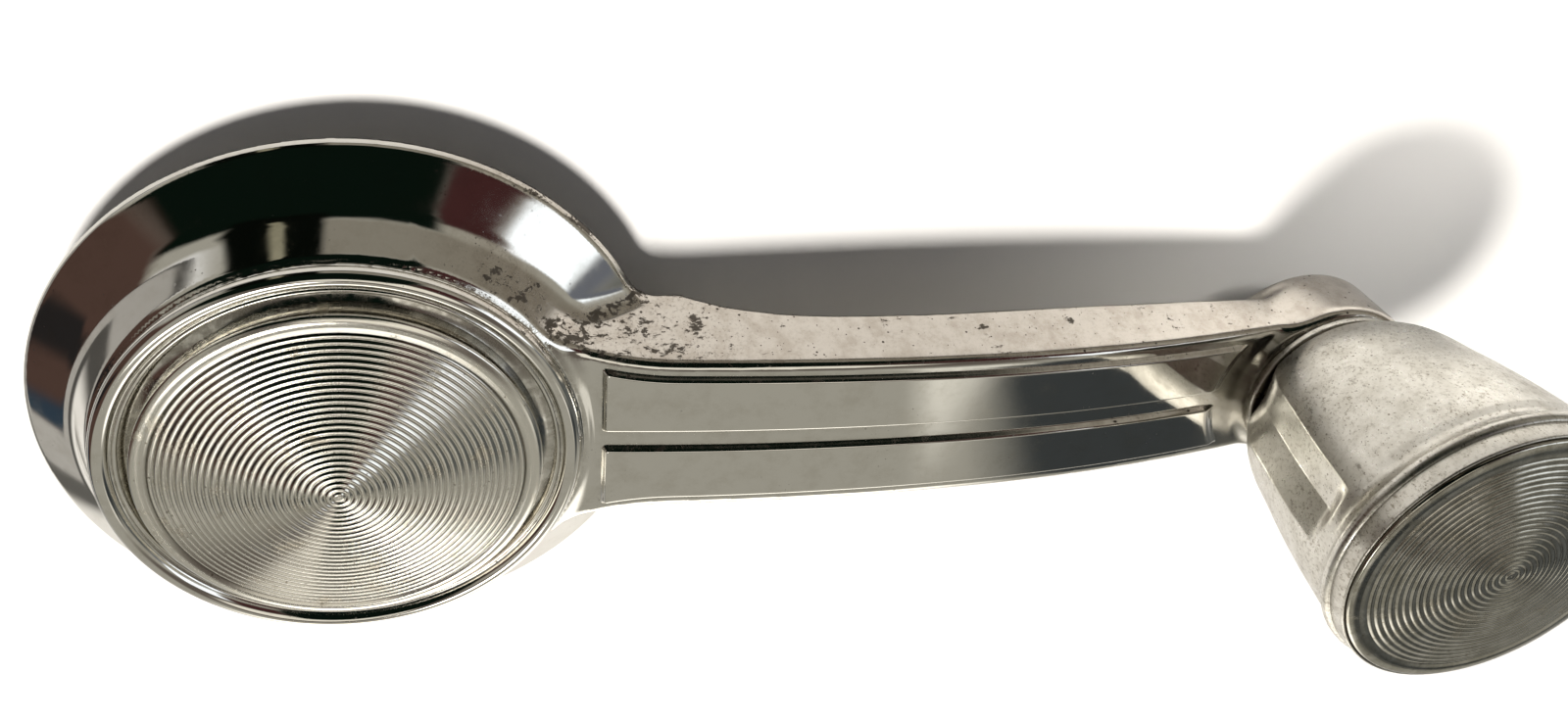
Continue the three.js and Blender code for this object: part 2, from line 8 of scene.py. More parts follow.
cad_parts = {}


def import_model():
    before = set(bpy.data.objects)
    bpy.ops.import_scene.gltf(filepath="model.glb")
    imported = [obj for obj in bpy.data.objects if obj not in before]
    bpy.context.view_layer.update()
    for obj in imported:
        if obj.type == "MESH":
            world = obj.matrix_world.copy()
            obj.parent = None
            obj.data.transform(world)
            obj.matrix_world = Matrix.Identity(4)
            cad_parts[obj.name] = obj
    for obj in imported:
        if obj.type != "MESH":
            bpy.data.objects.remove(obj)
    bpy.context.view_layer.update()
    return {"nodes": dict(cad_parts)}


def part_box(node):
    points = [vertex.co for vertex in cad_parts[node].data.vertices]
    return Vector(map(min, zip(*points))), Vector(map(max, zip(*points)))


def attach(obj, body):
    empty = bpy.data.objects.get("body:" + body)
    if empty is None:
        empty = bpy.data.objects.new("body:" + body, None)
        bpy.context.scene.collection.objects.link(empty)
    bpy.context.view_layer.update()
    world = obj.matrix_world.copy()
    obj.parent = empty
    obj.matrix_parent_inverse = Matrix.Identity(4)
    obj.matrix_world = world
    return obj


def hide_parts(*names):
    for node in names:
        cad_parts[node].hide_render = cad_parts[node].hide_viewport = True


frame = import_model()

# ---------------------------------------------------------------- places taken from the frame
MM = 0.001
CASTING_LOW, CASTING_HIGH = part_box("crank_casting")
COLLAR_LOW, COLLAR_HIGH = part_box("knob_collar")
KNOB_LOW, KNOB_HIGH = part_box("knob_body")
HUB_DISC_LOW, HUB_DISC_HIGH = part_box("hub_disc")
KNOB_DISC_LOW, KNOB_DISC_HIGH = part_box("knob_disc")
DECK_Z = 7.6                                      # the hub disc stands on the deck
BASE_Z = HUB_DISC_LOW[2] / MM - DECK_Z            # plane of the skirt's rim, in the frame's millimetres
REACH = (COLLAR_LOW[0] + COLLAR_HIGH[0]) / 2 / MM

# ---------------------------------------------------------------- casting, heights from the base plane
SKIRT_R = CASTING_HIGH[1] / MM
CREASE_R, CREASE_Z = 23.5, 4.1
SKIRT_SLOPE = (0.538, 0.843)                      # outward normals of skirt and wall, in radius and height
WALL_SLOPE = (0.836, 0.549)
BEAD_R, BEAD_Z, BEAD_SECTION = 20.0, 8.3, 0.9
PAD_R, PAD_Z = 9.2, 9.2
SHELL = 2.0
CORE_R = 8.6
CORE_BOTTOM = CASTING_LOW[2] / MM - BASE_Z        # the core stands proud of the skirt's rim
SOCKET_R, SLEEVE_TOP = 6.55, 7.6
SOCKET_END_R, SOCKET_FLOOR = 4.1, 8.0
SLOT_HALF, SLOT_MIDDLE, SLOT_HEIGHT = 3.6, CORE_BOTTOM + 2.1, 1.4
ARM_START = 8.0
CREST_X, CREST_Z = 60.0, 9.9
RISE_INNER, FALL_OUTER = 0.0015, 0.0022
BACK_Z, BACK_FALL, BACK_START, BACK_LENGTH = 4.8, 0.025, 30.5, 9.0
HALF_INNER, HALF_OUTER = 8.75, 7.8
FLARE_START, FLARE_R = 30.0, 29.0
DRAFT = 0.24
BOSS_R, BOSS_LOW = 9.9, 0.6
BOSS_TOP = COLLAR_LOW[2] / MM - BASE_Z
RECESS_R, RECESS_Z = 6.6, 2.8
STUD_HOLE_R = 2.95
HOLLOW_MIDDLE, HOLLOW_HALF, HOLLOW_WALL, HOLLOW_ROOF = 60.0, 27.0, 1.7, 2.5
VOXEL = 0.32
FIELD_SWEEPS, SMOOTH_SHARE = 5, 0.6               # rounds of settling on the field, and smoothing in each


def arm_top(x):
    away = x - CREST_X
    return CREST_Z - away * away * np.where(away < 0, RISE_INNER, FALL_OUTER)


def arm_back(x):
    past = np.maximum(0.0, x - BACK_START)
    return (BACK_Z - BACK_FALL * past) * (1 - np.exp(-past / BACK_LENGTH))


def arm_half(x):
    along = np.clip((x - FLARE_START) / (REACH - FLARE_START), 0, 1)
    into = np.clip(FLARE_START - x, 0, FLARE_R)
    flare = FLARE_R - np.sqrt(FLARE_R ** 2 - into ** 2)
    return HALF_INNER + (HALF_OUTER - HALF_INNER) * along + flare


def join(a, b, k):
    """Union of two distance fields with a fillet of about k."""
    h = np.clip(0.5 + 0.5 * (b - a) / k, 0, 1)
    return b * (1 - h) + a * h - k * h * (1 - h)


def cut(a, b, k):
    """What two distance fields share, with edges rounded by about k."""
    return -join(-a, -b, k)


def hub_skin(r, z):
    skirt = cut(r - SKIRT_R, (r - CREASE_R) * SKIRT_SLOPE[0] + (z - CREASE_Z) * SKIRT_SLOPE[1], 0.5)
    wall = (r - CREASE_R) * WALL_SLOPE[0] + (z - CREASE_Z) * WALL_SLOPE[1]
    return join(skirt, cut(wall, z - DECK_Z, 0.4), 0.45)


def casting_field(p):
    """Signed distance of the casting, in millimetres, negative inside."""
    x, y, z = p[:, 0], p[:, 1], p[:, 2]
    r = np.hypot(x, y)
    rb = np.hypot(x - REACH, y)
    top, back, half = arm_top(x), arm_back(x), arm_half(x)
    side = (np.abs(y) - half - DRAFT * (top - z)) / math.hypot(1, DRAFT)
    arm = cut(cut(side, z - top, 0.75), back - z, 0.9)
    arm = np.maximum(arm, np.maximum(x - REACH, ARM_START - x))
    boss = cut(rb - BOSS_R, np.abs(z - (BOSS_TOP + BOSS_LOW) / 2) - (BOSS_TOP - BOSS_LOW) / 2, 1.4)
    body = join(join(hub_skin(r, z), arm, 1.8), boss, 1.6)
    bead = np.hypot(r - BEAD_R, z - BEAD_Z) - BEAD_SECTION + 0.08
    body = join(body, bead, 0.3)
    body = join(body, cut(r - PAD_R, z - PAD_Z, 0.4), 0.4)
    body = cut(body, -z, 0.3)
    hollow = np.maximum(hub_skin(r, z) + SHELL, CORE_R - r)
    channel = cut(cut(np.abs(y) - half + HOLLOW_WALL, z - top + HOLLOW_ROOF, 0.8),
                  np.abs(x - HOLLOW_MIDDLE) - HOLLOW_HALF, 0.8)
    body = cut(body, -np.minimum(hollow, channel), 0.35)
    core = cut(np.maximum(r - CORE_R, z - SHELL), CORE_BOTTOM - z, 0.6)
    body = join(body, core, 0.3)
    socket = np.minimum(np.maximum(r - SOCKET_R, z - SLEEVE_TOP),
                        np.maximum(r - SOCKET_END_R, z - SOCKET_FLOOR))
    recess = np.minimum(np.maximum(rb - RECESS_R, z - RECESS_Z), rb - STUD_HOLE_R)
    slot = np.maximum(SLOT_HALF - np.abs(y), np.abs(z - SLOT_MIDDLE) - SLOT_HEIGHT / 2)
    return cut(body, -np.minimum(np.minimum(socket, recess), slot), 0.3)


def field_step(p, field, reach=0.4):
    """Moves points along the field's gradient onto its surface."""
    h = 0.02
    f = field(p)
    grad = np.empty_like(p)
    for axis in range(3):
        step = np.zeros(3)
        step[axis] = h
        grad[:, axis] = (field(p + step) - field(p - step)) / (2 * h)
    size = np.maximum((grad * grad).sum(1), 0.05)
    move = -(f / size)[:, None] * grad
    length = np.linalg.norm(move, axis=1)
    return p + move * np.minimum(1, reach / np.maximum(length, 1e-9))[:, None]


# ---------------------------------------------------------------- mesh helpers
def new_piece(name, vertices, faces, smooth=True):
    mesh = bpy.data.meshes.new(name)
    mesh.from_pydata([tuple(v) for v in vertices], [], faces)
    mesh.update()
    if smooth:
        mesh.polygons.foreach_set("use_smooth", [True] * len(mesh.polygons))
    piece = bpy.data.objects.new(name, mesh)
    bpy.context.scene.collection.objects.link(piece)
    return piece


def to_frame(points, centre_x=0.0):
    """Millimetres from the base plane to metres in the frame."""
    out = np.asarray(points, dtype=float).copy()
    out[:, 0] += centre_x
    out[:, 2] += BASE_Z
    return out * MM


def grid_faces(rows, columns, wrap_columns=False, wrap_rows=False):
    faces = []
    for i in range(rows if wrap_rows else rows - 1):
        for j in range(columns if wrap_columns else columns - 1):
            a, b = i * columns + j, i * columns + (j + 1) % columns
            c, d = ((i + 1) % rows) * columns + (j + 1) % columns, ((i + 1) % rows) * columns + j
            faces.append((a, b, c, d))
    return faces


def rows_of(profile, angles):
    """Points of a turned shape at the given angles, row by row."""
    rows = [np.stack([r * np.cos(angles), r * np.sin(angles), np.full(len(angles), z)], 1)
            for r, z in profile]
    return np.concatenate(rows)


def turned(name, profile, centre_x, segments=256):
    """A turned piece from (radius, height) points, which run up the outside or end on the axis."""
    angles = np.arange(segments) * 2 * math.pi / segments
    points = to_frame(rows_of(profile, angles), centre_x)
    closed = profile[0] == profile[-1]
    count = len(profile) - 1 if closed else len(profile)
    return new_piece(name, points[:count * segments], grid_faces(count, segments, True, closed))


def arc(centre_r, centre_z, radius, start, end, steps=12):
    """Points of an arc in a profile, with angles in degrees from the outward direction."""
    angles = [math.radians(start + (end - start) * i / steps) for i in range(steps + 1)]
    return [(centre_r + radius * math.cos(a), centre_z + radius * math.sin(a)) for a in angles]


def fine_casting():
    """The casting rebuilt on its distance field, so its blends are smooth enough for plating."""
    source = frame["nodes"]["crank_casting"]
    block = bpy.data.objects.new("casting_block", source.data.copy())
    bpy.context.scene.collection.objects.link(block)
    remesh = block.modifiers.new("voxels", "REMESH")
    remesh.mode = "VOXEL"
    remesh.voxel_size = VOXEL * MM
    graph = bpy.context.evaluated_depsgraph_get()
    mesh = bpy.data.meshes.new_from_object(block.evaluated_get(graph))
    bpy.data.objects.remove(block)
    count = len(mesh.vertices)
    points = np.empty(count * 3)
    mesh.vertices.foreach_get("co", points)
    points = points.reshape(-1, 3) / MM
    points[:, 2] -= BASE_Z
    edges = np.empty(len(mesh.edges) * 2, dtype=int)
    mesh.edges.foreach_get("vertices", edges)
    edges = edges.reshape(-1, 2)
    degree = np.bincount(edges.ravel(), minlength=count)[:, None]
    for sweep in range(FIELD_SWEEPS):
        for _ in range(2):
            points = field_step(points, casting_field)
        if sweep < FIELD_SWEEPS - 1:
            total = np.zeros_like(points)
            for axis in range(3):
                total[:, axis] = (np.bincount(edges[:, 0], points[edges[:, 1], axis], count)
                                  + np.bincount(edges[:, 1], points[edges[:, 0], axis], count))
            points = points * (1 - SMOOTH_SHARE) + total / degree * SMOOTH_SHARE
    for _ in range(2):
        points = field_step(points, casting_field)
    mesh.vertices.foreach_set("co", to_frame(points).ravel())
    mesh.polygons.foreach_set("use_smooth", [True] * len(mesh.polygons))
    mesh.update()
    piece = bpy.data.objects.new("casting_surface", mesh)
    mesh.name = "casting_surface"
    bpy.context.scene.collection.objects.link(piece)
    return piece


# ---------------------------------------------------------------- hub ring and raised bars
def hub_bead():
    """The bead, the fine step inside it and the channel floor, as one turned ring."""
    outer = arc(BEAD_R, BEAD_Z, BEAD_SECTION, -40, 150, 20)
    profile = [
        (BEAD_R + 0.5, DECK_Z - 0.3),
        *outer,
        (BEAD_R - 0.95, BEAD_Z + 0.22),
        *arc(BEAD_R - 1.25, BEAD_Z + 0.1, 0.26, 40, 170, 8),
        (BEAD_R - 1.62, DECK_Z + 0.25),
        (BEAD_R - 1.9, DECK_Z + 0.08),
        (BEAD_R - 2.7, DECK_Z + 0.06),
        (BEAD_R - 2.7, DECK_Z - 0.3),
        (BEAD_R + 0.5, DECK_Z - 0.3),
    ]
    return turned("hub_bead", profile, 0.0, 288)


BAR_START, BAR_HEIGHT = 22.6, 0.5
BAR_INNER, BAR_BORDER = 0.95, 1.4
BAR_END_R = 12.6
BAR_SKIRT, BAR_SINK = 0.25, 0.06                  # how far its foot runs past its edge and into the arm
BAR_EDGE, BAR_START_RAMP, BAR_END_RAMP = 0.62, 0.7, 1.9


def ease(t):
    t = np.clip(t, 0, 1)
    return t * t * (3 - 2 * t)


def spaced(count, edge_share, edge_length):
    """Parameters from 0 to 1, packed closer near both ends."""
    near = np.linspace(0, edge_length, int(count * edge_share))
    middle = np.linspace(edge_length, 1 - edge_length, int(count * (1 - 2 * edge_share)))
    return np.unique(np.concatenate([near, middle, 1 - near]))


def raised_bar(name, side):
    """One long raised bar: a flat top with sloping sides, a square end and a curved ramp by the knob."""
    across = spaced(44, 0.38, 0.16)
    along = spaced(150, 0.2, 0.035)
    rows = []
    for u in along:
        first_x = BAR_START
        y_guess = BAR_INNER + across * (HALF_INNER - BAR_BORDER - BAR_INNER)
        last_x = REACH - np.sqrt(np.maximum(BAR_END_R ** 2 - y_guess ** 2, 0)) - 0.4
        x = first_x + (last_x - first_x) * u
        outer = arm_half(x) - BAR_BORDER
        width = outer - BAR_INNER + 2 * BAR_SKIRT
        y = BAR_INNER - BAR_SKIRT + across * width
        edge = np.minimum(across * width, (1 - across) * width) / BAR_EDGE
        start = (x - first_x) / BAR_START_RAMP
        finish = (last_x - x) / BAR_END_RAMP
        lift = ease(np.minimum(edge, 1)) * ease(start) * ease(finish)
        rows.append(np.stack([x, side * y, arm_top(x) - BAR_SINK + (BAR_HEIGHT + BAR_SINK) * lift], 1))
    faces = grid_faces(len(along), len(across))
    if side > 0:
        faces = [tuple(reversed(face)) for face in faces]
    return new_piece(name, to_frame(np.concatenate(rows)), faces)


# ---------------------------------------------------------------- ringed discs
HUB_DISC_R = HUB_DISC_HIGH[1] / MM
HUB_DISC_RIM, HUB_DISC_BORDER, HUB_RINGS = 10.0, 1.5, 27
KNOB_DISC_R = KNOB_DISC_HIGH[1] / MM + 0.18         # spread against its seat, so that no gap shows
KNOB_DISC_RIM, KNOB_DISC_BORDER, KNOB_RINGS = 31.2, 1.7, 21
DISC_POWER = 1.5
DISC_SHEET, DISC_RIM_R, DISC_WALL = 1.1, 0.3, 1.0
RING_STEPS, GROOVE_POWER = 10, 1.4                # points across one ring, and how narrow its groove is
AXIS_HOLE = 0.02                                  # a pinhole keeps the turned mesh one closed body


def ringed_disc(name, centre_x, radius, rim_z, top_z, seat_z, border, rings, depth, border_lift):
    """Domed disc with fine rings, a plain sloping border and a rim that stands on its seat."""
    def dome(r):
        return rim_z + (top_z - rim_z) * (1 - (r / radius) ** DISC_POWER)

    ringed_r = radius - border
    profile = [(AXIS_HOLE, dome(0.0) - 0.02)]
    for i in range(1, rings * RING_STEPS + 1):
        r = ringed_r * i / (rings * RING_STEPS)
        wave = 0.5 + 0.5 * math.cos(2 * math.pi * i / RING_STEPS)
        profile.append((r, dome(r) - depth * wave ** GROOVE_POWER * min(1, i / RING_STEPS)))
    profile.append((ringed_r + 0.12, dome(ringed_r) + border_lift))
    profile += reversed(arc(radius - DISC_RIM_R, rim_z - 0.25, DISC_RIM_R, 0, 70, 6))
    profile += [(radius, seat_z), (radius - DISC_WALL, seat_z), (radius - DISC_WALL, rim_z - 0.9)]
    profile += [(ringed_r * 0.5, dome(ringed_r * 0.5) - DISC_SHEET), (AXIS_HOLE, dome(0) - DISC_SHEET)]
    profile.append(profile[0])
    return turned(name, list(reversed(profile)), centre_x)


# ---------------------------------------------------------------- knob
KNOB_BOTTOM = KNOB_LOW[2] / MM - BASE_Z
KNOB_TOP = KNOB_HIGH[2] / MM - BASE_Z
KNOB_SIDE = [(9.9, 9.4), (11.5, 11.8), (12.9, 16.8), (14.0, 22.6), (14.5, 26.6)]
KNOB_BEAD_R, KNOB_BEAD_Z, KNOB_BEAD_SECTION = 15.2, 28.9, 0.6
KNOB_BAND_R = 14.75
KNOB_SEAT_R, KNOB_SEAT_Z = 14.5, KNOB_DISC_LOW[2] / MM - BASE_Z
FLUTE_DEPTH, FLUTE_HALF, FLUTE_TURN, FLUTE_COUNT = 1.1, 3.6, 172.0, 2
FLUTE_SPREAD = 17.5                               # degrees that hold the fine mesh round a flute
KNOB_RECESS_R, KNOB_RECESS_Z = 8.8, 10.5
KNOB_FLOOR_R, KNOB_FLOOR_Z = 9.2, 12.2
KNOB_LEDGE_R, KNOB_CAVITY_R, KNOB_CAVITY_Z = 12.2, 11.2, 20.0
TUBE_R0, TUBE_R1, TUBE_TOP = 4.05, 6.0, 21.6


def smooth_curve(points, samples):
    """Even points on a spline through the given ones, with height as the parameter."""
    r = np.array([p[0] for p in points])
    z = np.array([p[1] for p in points])
    slope = np.gradient(r, z)
    heights = np.linspace(z[0], z[-1], samples)
    i = np.clip(np.searchsorted(z, heights) - 1, 0, len(z) - 2)
    span = z[i + 1] - z[i]
    t = (heights - z[i]) / span
    radius = ((2 * t ** 3 - 3 * t ** 2 + 1) * r[i] + (t ** 3 - 2 * t ** 2 + t) * span * slope[i]
              + (-2 * t ** 3 + 3 * t ** 2) * r[i + 1] + (t ** 3 - t ** 2) * span * slope[i + 1])
    return list(zip(radius, heights))


def knob_angles():
    """Angles round the knob, packed closely across each flute."""
    pitch = 360 / FLUTE_COUNT
    angles = []
    for i in range(FLUTE_COUNT):
        centre = FLUTE_TURN + pitch * i
        angles += list(centre + np.linspace(-FLUTE_SPREAD, FLUTE_SPREAD, 71))
        angles += list(centre + np.linspace(FLUTE_SPREAD, pitch - FLUTE_SPREAD, 110)[1:-1])
    return np.radians(angles)


def flute_scale(radius, angles):
    """Share of the radius that a V flute leaves at each angle."""
    sagitta = radius - math.sqrt(radius ** 2 - FLUTE_HALF ** 2)
    tilt = (FLUTE_DEPTH - sagitta) / FLUTE_HALF
    scale = np.ones(len(angles))
    for i in range(FLUTE_COUNT):
        turn = math.radians(FLUTE_TURN + 360 * i / FLUTE_COUNT)
        off = (angles - turn + math.pi) % (2 * math.pi) - math.pi
        flat = (1 - FLUTE_DEPTH / radius) / np.maximum(np.cos(off) - tilt * np.abs(np.sin(off)), 0.2)
        scale = np.where(np.abs(off) < 0.6, np.minimum(scale, flat), scale)
    return scale


def knob_shell():
    """Knob body: tapered side with V flutes, a hollow under the bead, the bead and the slanted band."""
    side = smooth_curve(KNOB_SIDE, 56)
    foot = arc(side[0][0] - 0.35, KNOB_BOTTOM + 0.35, 0.35, -90, -10, 5)
    cove = [(14.42, 27.1), (14.45, 27.5), (14.62, 27.9)]
    bead = arc(KNOB_BEAD_R - KNOB_BEAD_SECTION, KNOB_BEAD_Z, KNOB_BEAD_SECTION, -60, 70, 12)
    band = [(KNOB_BAND_R + 0.08, KNOB_BEAD_Z + 0.62), (KNOB_BAND_R, KNOB_TOP - 0.18)]
    rim = arc(KNOB_BAND_R - 0.14, KNOB_TOP - 0.14, 0.14, 0, 180, 6)
    outside = foot + side[2:] + cove + bead + band + rim
    inside = [(KNOB_SEAT_R, KNOB_SEAT_Z), (KNOB_LEDGE_R, KNOB_SEAT_Z), (KNOB_CAVITY_R, KNOB_CAVITY_Z),
              (KNOB_FLOOR_R, KNOB_FLOOR_Z), (TUBE_R1, KNOB_FLOOR_Z), (TUBE_R1, TUBE_TOP),
              (TUBE_R0, TUBE_TOP), (TUBE_R0, KNOB_RECESS_Z), (KNOB_RECESS_R, KNOB_RECESS_Z),
              (KNOB_RECESS_R, KNOB_BOTTOM)]
    angles = knob_angles()
    points = rows_of(outside + inside, angles)
    fluted_top = KNOB_SIDE[-1][1] + 0.3
    for row, (radius, z) in enumerate(foot + side[2:]):
        fade = float(ease((fluted_top - z) / 2.0))
        scale = 1 + (flute_scale(radius, angles) - 1) * fade
        here = slice(row * len(angles), (row + 1) * len(angles))
        points[here, :2] *= scale[:, None]
    faces = grid_faces(len(outside + inside), len(angles), True, True)
    return new_piece("knob_shell", to_frame(points, REACH), faces)


def fine_collar():
    low, high = COLLAR_LOW[2] / MM - BASE_Z, COLLAR_HIGH[2] / MM - BASE_Z
    radius = COLLAR_HIGH[1] / MM
    edge = 0.3
    profile = [(STUD_HOLE_R, low), (radius - edge, low)]
    profile += arc(radius - edge, low + edge, edge, -80, 0, 6)
    profile += arc(radius - edge, high - edge, edge, 0, 90, 6)
    profile += [(STUD_HOLE_R, high), (STUD_HOLE_R, low)]
    return turned("collar_ring", profile, REACH, 160)


# ---------------------------------------------------------------- materials
class Nodes:
    """Small helper that adds and links shader nodes by name."""

    def __init__(self, tree):
        self.tree = tree
        tree.nodes.clear()

    def add(self, kind, **settings):
        node = self.tree.nodes.new("ShaderNode" + kind)
        for key, value in settings.items():
            if key in node.inputs:
                self.put(node.inputs[key], value)
            else:
                setattr(node, key, value)
        return node

    def put(self, socket, value):
        if isinstance(value, bpy.types.NodeSocket):
            self.tree.links.new(value, socket)
        elif isinstance(value, tuple) and len(value) == 3 and socket.type == "RGBA":
            socket.default_value = (*value, 1)
        else:
            socket.default_value = value

    def maths(self, operation, a, b=0.0):
        node = self.tree.nodes.new("ShaderNodeMath")
        node.operation = operation
        self.put(node.inputs[0], a)
        self.put(node.inputs[1], b)
        return node.outputs[0]

    def vector_maths(self, operation, a, b=(0, 0, 0)):
        node = self.tree.nodes.new("ShaderNodeVectorMath")
        node.operation = operation
        self.put(node.inputs[0], a)
        self.put(node.inputs[1], b)
        return node.outputs["Value"] if operation == "LENGTH" else node.outputs[0]

    def fade(self, value, low, high, out_low=0.0, out_high=1.0):
        node = self.tree.nodes.new("ShaderNodeMapRange")
        node.interpolation_type = "SMOOTHSTEP"
        for index, item in enumerate((value, low, high, out_low, out_high)):
            self.put(node.inputs[index], item)
        return node.outputs[0]

    def blend(self, factor, a, b):
        node = self.tree.nodes.new("ShaderNodeMix")
        node.data_type = "RGBA"
        self.put(node.inputs[0], factor)
        self.put(node.inputs[6], a)
        self.put(node.inputs[7], b)
        return node.outputs[2]

    def noise(self, coords, scale, detail=3.0, roughness=0.55, distortion=0.0):
        node = self.add("TexNoise", Vector=coords, Scale=scale, Detail=detail,
                        Roughness=roughness, Distortion=distortion)
        return node.outputs["Fac"]

    def specks(self, coords, scale, size, spread, softness=0.3):
        """Scattered round specks: 1 inside a speck and 0 outside, with only some cells filled."""
        cell = self.add("TexVoronoi", Vector=coords, Scale=scale)
        colour = self.add("SeparateColor", Color=cell.outputs["Color"])
        reach = self.maths("MULTIPLY", self.fade(colour.outputs[0], 1 - spread, 1.0), size)
        edge = self.maths("SUBTRACT", reach, cell.outputs["Distance"])
        return self.fade(edge, 0.0, size * softness)


def material(name):
    item = bpy.data.materials.new(name)
    item.use_nodes = True
    nodes = Nodes(item.node_tree)
    coords = nodes.add("TexCoord").outputs["Object"]
    return item, nodes, coords


def scaled(nodes, coords, scale):
    return nodes.vector_maths("MULTIPLY", coords, scale)


def in_mm(nodes, coords):
    return scaled(nodes, coords, (1 / MM, 1 / MM, 1 / MM))


def metal_output(nodes, colour, roughness, height, strength=0.3, distance=0.00002, metallic=1.0):
    shader = nodes.add("BsdfPrincipled")
    nodes.put(shader.inputs["Base Color"], colour)
    nodes.put(shader.inputs["Roughness"], roughness)
    nodes.put(shader.inputs["Metallic"], metallic)
    bump = nodes.add("Bump", Strength=strength, Distance=distance, Height=height)
    nodes.put(shader.inputs["Normal"], bump.outputs[0])
    out = nodes.add("OutputMaterial")
    nodes.put(out.inputs["Surface"], shader.outputs[0])


def crevice(nodes, distance, low=0.55, high=0.95):
    """1 deep in a corner and 0 in the open."""
    shade = nodes.add("AmbientOcclusion", samples=6, Distance=distance)
    return nodes.fade(shade.outputs["AO"], low, high, 1.0, 0.0)


def chrome_material(name):
    """Old plating: bright, faintly hazy, with black pitting that is worst on the arm next to the hub."""
    item, nodes, coords = material(name)
    mm = in_mm(nodes, coords)
    x, y = nodes.add("SeparateXYZ", Vector=mm).outputs[:2]
    facing = nodes.add("SeparateXYZ", Vector=nodes.add("NewGeometry").outputs["Normal"]).outputs
    side = nodes.fade(nodes.maths("ABSOLUTE", facing[1]), 0.35, 0.6)
    arm = nodes.maths("MULTIPLY", nodes.fade(x, 4.0, 16.0), side)
    root = nodes.fade(nodes.maths("ABSOLUTE", nodes.maths("SUBTRACT", x, 23.0)), 6.0, 17.0, 1.0, 0.0)
    root = nodes.maths("MULTIPLY", root, arm)
    blotch = nodes.noise(scaled(nodes, mm, (0.7, 1.1, 1.2)), 1.25, 6, 0.68, 0.3)
    drift = nodes.maths("MULTIPLY", nodes.maths("SUBTRACT", nodes.noise(mm, 0.24, 2), 0.5), 0.5)
    blotch = nodes.maths("ADD", blotch, nodes.maths("MULTIPLY", drift, arm))
    level = nodes.maths("SUBTRACT", 0.80, nodes.maths("MULTIPLY", arm, 0.155))
    level = nodes.maths("SUBTRACT", level, nodes.maths("MULTIPLY", root, 0.095))
    smudge = nodes.fade(nodes.maths("SUBTRACT", blotch, level), 0.0, 0.06)
    group = nodes.fade(nodes.noise(mm, 0.17, 3, 0.6), 0.50, 0.66)
    pit = nodes.maths("MAXIMUM", nodes.specks(mm, 1.5, 0.26, 0.20), nodes.specks(mm, 3.2, 0.28, 0.26))
    pit = nodes.maths("MULTIPLY", pit, nodes.maths("MAXIMUM", nodes.maths("MULTIPLY", group, 0.8), arm))
    pit = nodes.maths("MAXIMUM", pit, smudge)
    corner = nodes.maths("MULTIPLY", crevice(nodes, 0.0011), nodes.fade(nodes.noise(mm, 0.9, 4), 0.3, 0.62))
    from_knob = nodes.add("CombineXYZ", X=nodes.maths("SUBTRACT", x, REACH), Y=y)
    near_knob = nodes.vector_maths("LENGTH", from_knob.outputs[0])
    film = nodes.fade(near_knob, 11.0, 17.0, 0.55, 0.0)
    film = nodes.maths("MULTIPLY", film, nodes.fade(facing[2], 0.75, 0.95))
    film = nodes.maths("MULTIPLY", film, nodes.fade(x, REACH - 9.0, REACH - 3.0, 1.0, 0.0))
    haze = nodes.fade(nodes.noise(mm, 0.35, 5, 0.65), 0.42, 0.75)
    colour = nodes.blend(haze, (0.76, 0.745, 0.70), (0.68, 0.66, 0.605))
    stain = nodes.fade(nodes.noise(mm, 0.5, 5, 0.7), 0.4, 0.65)
    stain_and_side_shade = nodes.blend(stain, (0.67, 0.625, 0.565), (0.55, 0.50, 0.44))
    # Faces turned towards ±Y past x = 4 mm, mostly the arm's sides, take a darker mottled colour: brownish
    # stains and painted shade that dims their reflection.
    colour = nodes.blend(arm, colour, stain_and_side_shade)
    colour = nodes.blend(film, colour, (0.22, 0.205, 0.17))
    colour = nodes.blend(nodes.maths("MULTIPLY", corner, 0.72), colour, (0.15, 0.125, 0.075))
    fleck = nodes.fade(nodes.noise(mm, 3.4, 5, 0.72), 0.52, 0.66)
    fleck_level = nodes.maths("ADD", nodes.maths("MULTIPLY", root, 0.35), 0.12)
    fleck = nodes.maths("MULTIPLY", nodes.maths("MULTIPLY", fleck, arm), fleck_level)
    pit = nodes.maths("MAXIMUM", nodes.maths("MULTIPLY", pit, 0.86), fleck)
    colour = nodes.blend(pit, colour, (0.040, 0.030, 0.020))
    roughness = nodes.maths("ADD", nodes.maths("MULTIPLY", haze, 0.06), 0.05)
    roughness = nodes.maths("ADD", roughness, nodes.maths("MULTIPLY", corner, 0.25))
    roughness = nodes.maths("ADD", roughness, nodes.maths("MULTIPLY", film, 0.22))
    roughness = nodes.maths("ADD", roughness, nodes.maths("MULTIPLY", arm, 0.06))
    roughness = nodes.maths("ADD", roughness, nodes.maths("MULTIPLY", pit, 0.4))
    wave = nodes.noise(mm, 0.09, 4)
    metal_output(nodes, colour, roughness, wave, 0.3, 0.00003)
    return item


